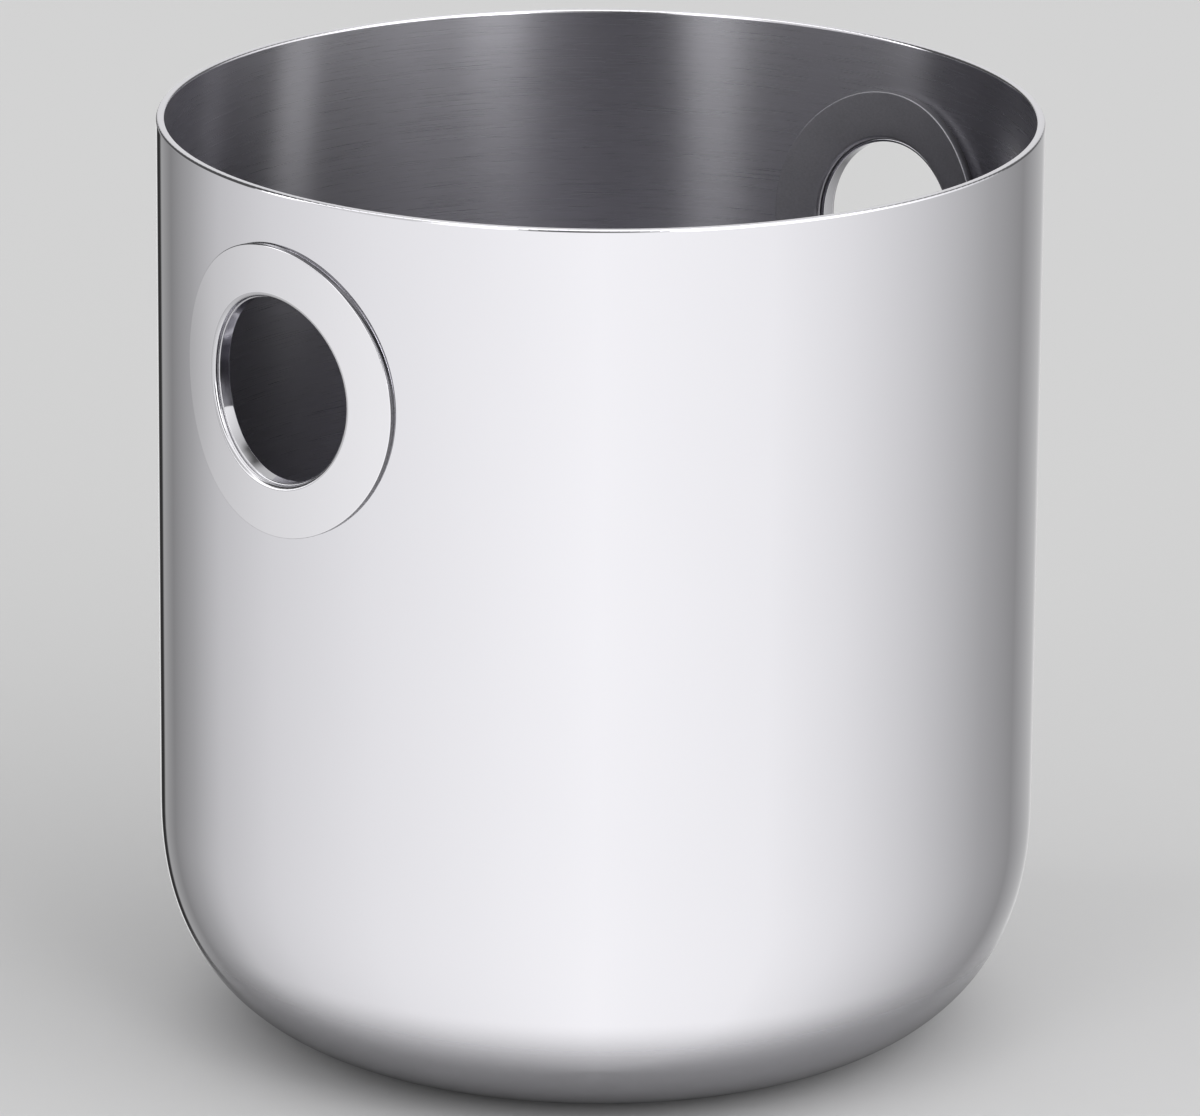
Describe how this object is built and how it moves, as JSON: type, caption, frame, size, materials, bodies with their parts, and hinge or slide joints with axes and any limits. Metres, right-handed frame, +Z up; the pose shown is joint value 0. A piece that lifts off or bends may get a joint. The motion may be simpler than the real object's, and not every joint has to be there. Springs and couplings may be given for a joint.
{
  "type": "champagne bucket",
  "caption": "Round steel champagne bucket with a large soft lower corner, flat base and finger rings clamped through the wall near the rim.",
  "frame": {"origin": "centre of the flat base, on the surface that the bucket stands on", "axes": "+Z up along the bucket's axis to the rim, X through the middles of the two finger holes"},
  "size_m": [0.2078, 0.205, 0.219],
  "materials": {
    "shell": "mirror polished outside and on the rim, fine horizontal satin brushing inside",
    "outer_ring": "mirror polished with rounded edges",
    "bore_sleeve": "polished bore",
    "inner_ring": "satin"
  },
  "bodies": {
    "root": {"bucket_shell": "shell", "outer_ring_right": "outer_ring", "outer_ring_left": "outer_ring", "bore_sleeve_right": "bore_sleeve", "bore_sleeve_left": "bore_sleeve", "inner_ring_right": "inner_ring", "inner_ring_left": "inner_ring"}
  },
  "joints": []
}
